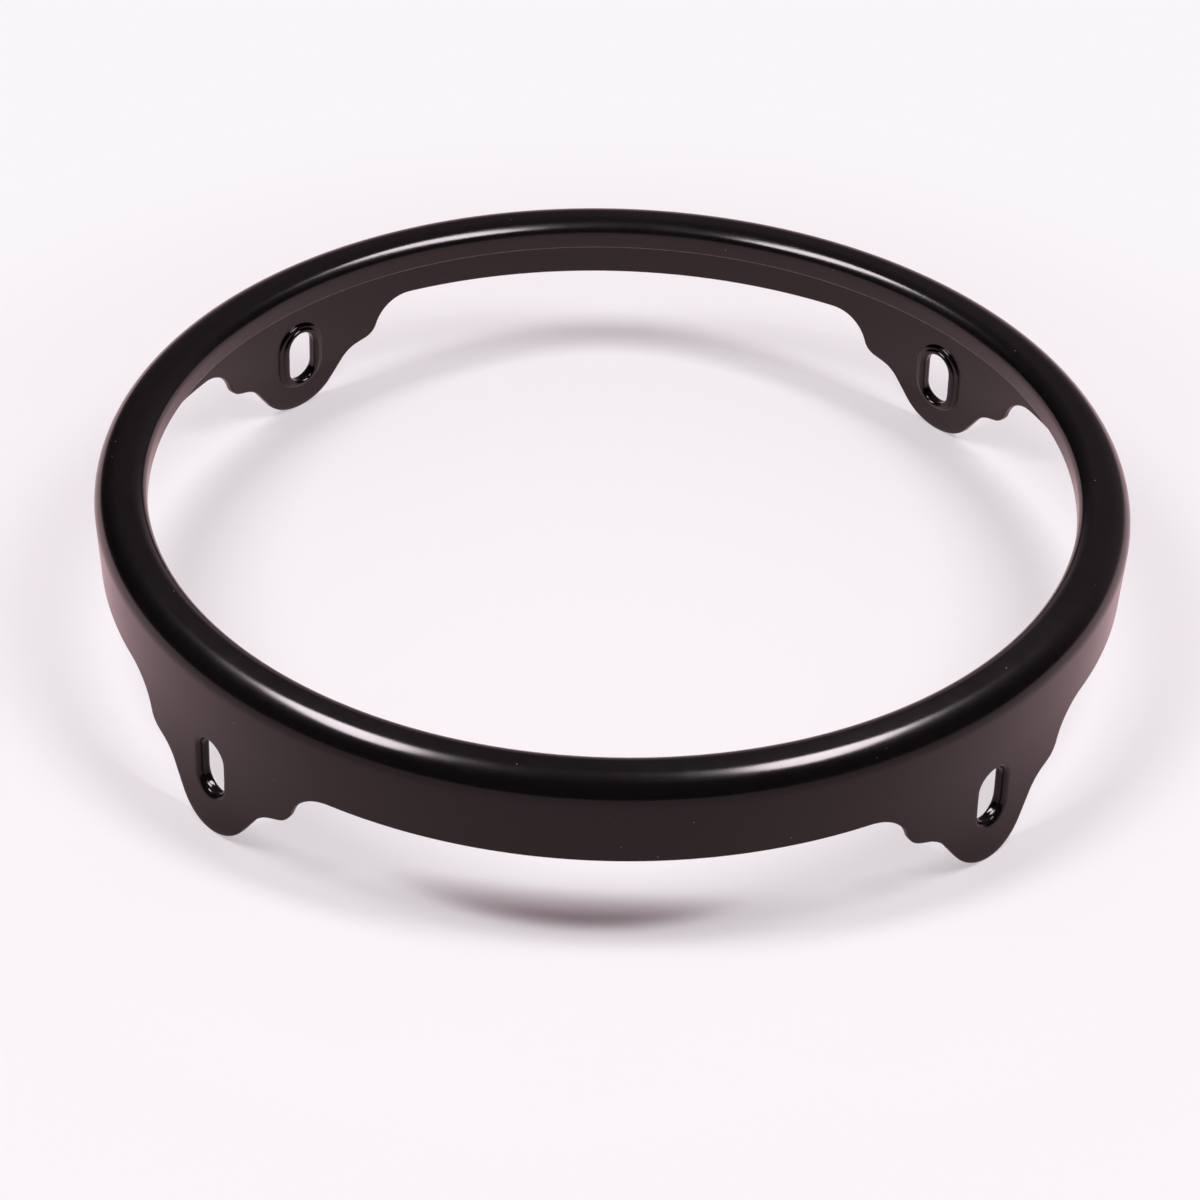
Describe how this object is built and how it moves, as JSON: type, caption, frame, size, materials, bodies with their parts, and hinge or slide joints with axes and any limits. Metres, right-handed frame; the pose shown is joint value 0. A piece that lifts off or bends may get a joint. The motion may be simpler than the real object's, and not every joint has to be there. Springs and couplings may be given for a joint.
{
  "type": "hand drum rim",
  "caption": "Black coated steel rim of a hand drum: rolled comfort edge, tapered skirt and slotted ears for the tuning hooks, standing on its ears.",
  "frame": {"origin": "on the hoop's axis, level with the tips of the ears that it stands on", "axes": "+Z along the hoop's axis, from the ear tips up to the rolled edge; the ears point along +X, +Y, -X and -Y"},
  "size_m": [0.248, 0.248, 0.0461],
  "materials": {
    "shell_powder_coat": "satin black powder coat on pressed steel",
    "ring_powder_coat": "satin black powder coat on steel strip",
    "collar_gloss_coat": "black coat, glossier where it has pooled round the slot"
  },
  "bodies": {
    "root": {"rim_shell": "shell_powder_coat", "inner_ring": "ring_powder_coat", "slot_collar_1": "collar_gloss_coat", "slot_collar_2": "collar_gloss_coat", "slot_collar_3": "collar_gloss_coat", "slot_collar_4": "collar_gloss_coat"}
  },
  "joints": []
}
